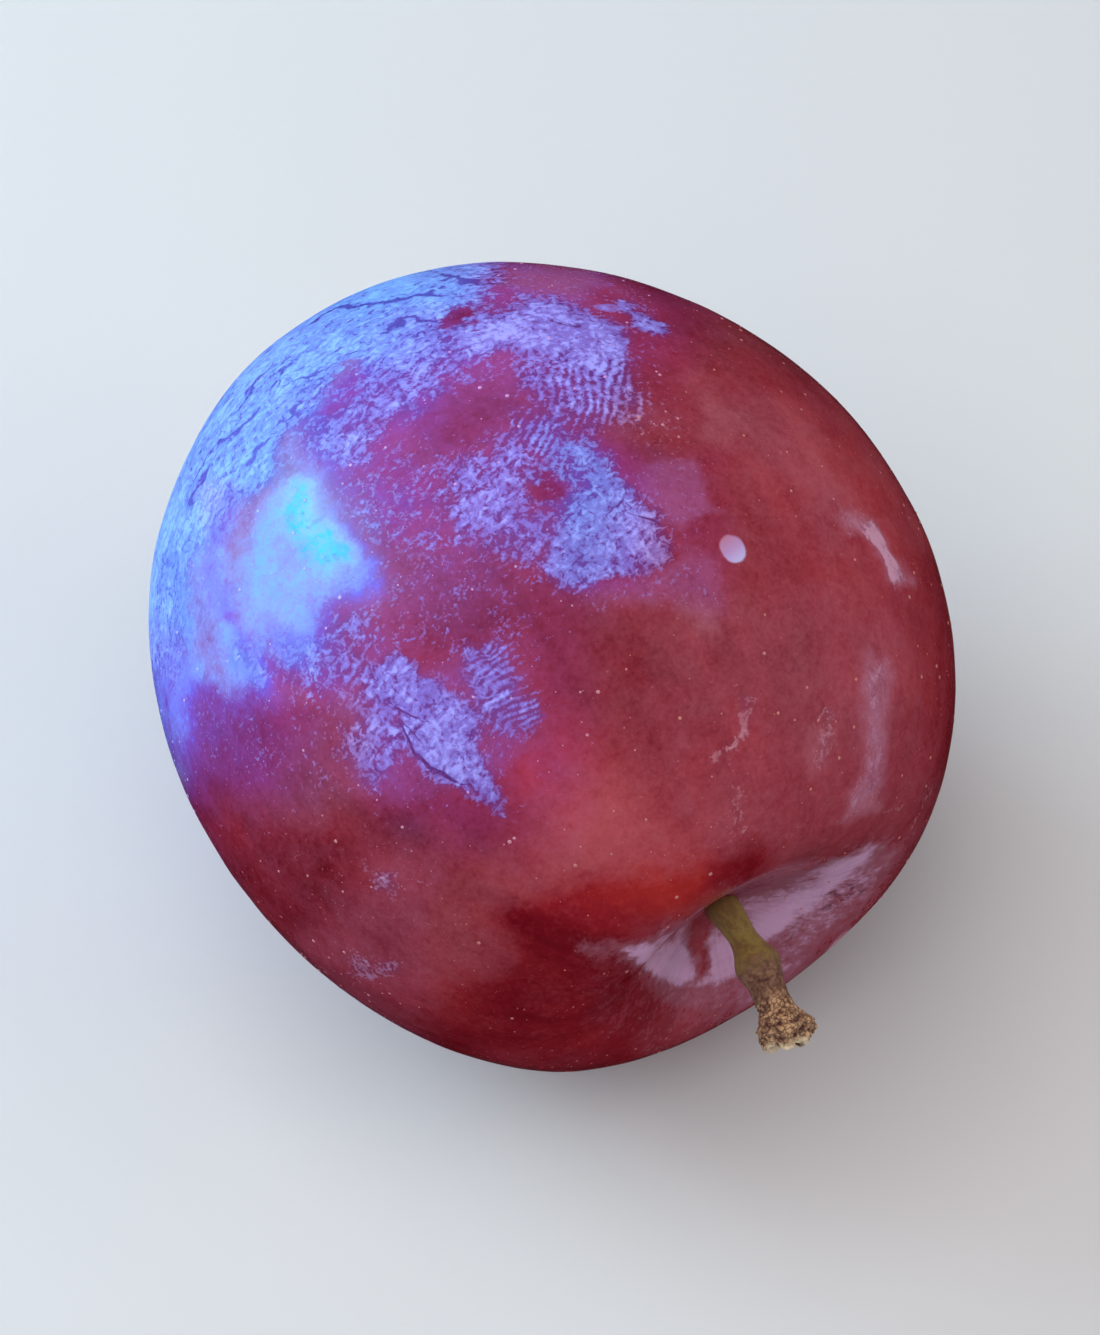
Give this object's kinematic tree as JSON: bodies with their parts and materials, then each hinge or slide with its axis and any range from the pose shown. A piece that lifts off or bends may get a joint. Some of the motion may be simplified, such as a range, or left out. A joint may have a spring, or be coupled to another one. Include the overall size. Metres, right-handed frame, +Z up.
{
  "type": "plum",
  "caption": "Whole ripe plum lying on its cheek: a rounded egg shape with a stem hollow, a faint suture and a short woody stem.",
  "frame": {"origin": "the middle of the small flat spot under the fruit, on the surface that it rests on", "axes": "+Z up. The stem end points along -Y, dipped 5 degrees below level, and the blossom end along +Y. +X is the fruit's fuller cheek."},
  "size_m": [0.0547, 0.063, 0.0522],
  "materials": {
    "plum_skin": "thin glossy fruit skin, crimson to brick red, with a waxy lilac-blue bloom rubbed off in places",
    "plum_stem": "matte, olive green at the root and brown, cracked and woody at the end"
  },
  "bodies": {
    "root": {"fruit": "plum_skin", "stem": "plum_stem"}
  },
  "joints": []
}
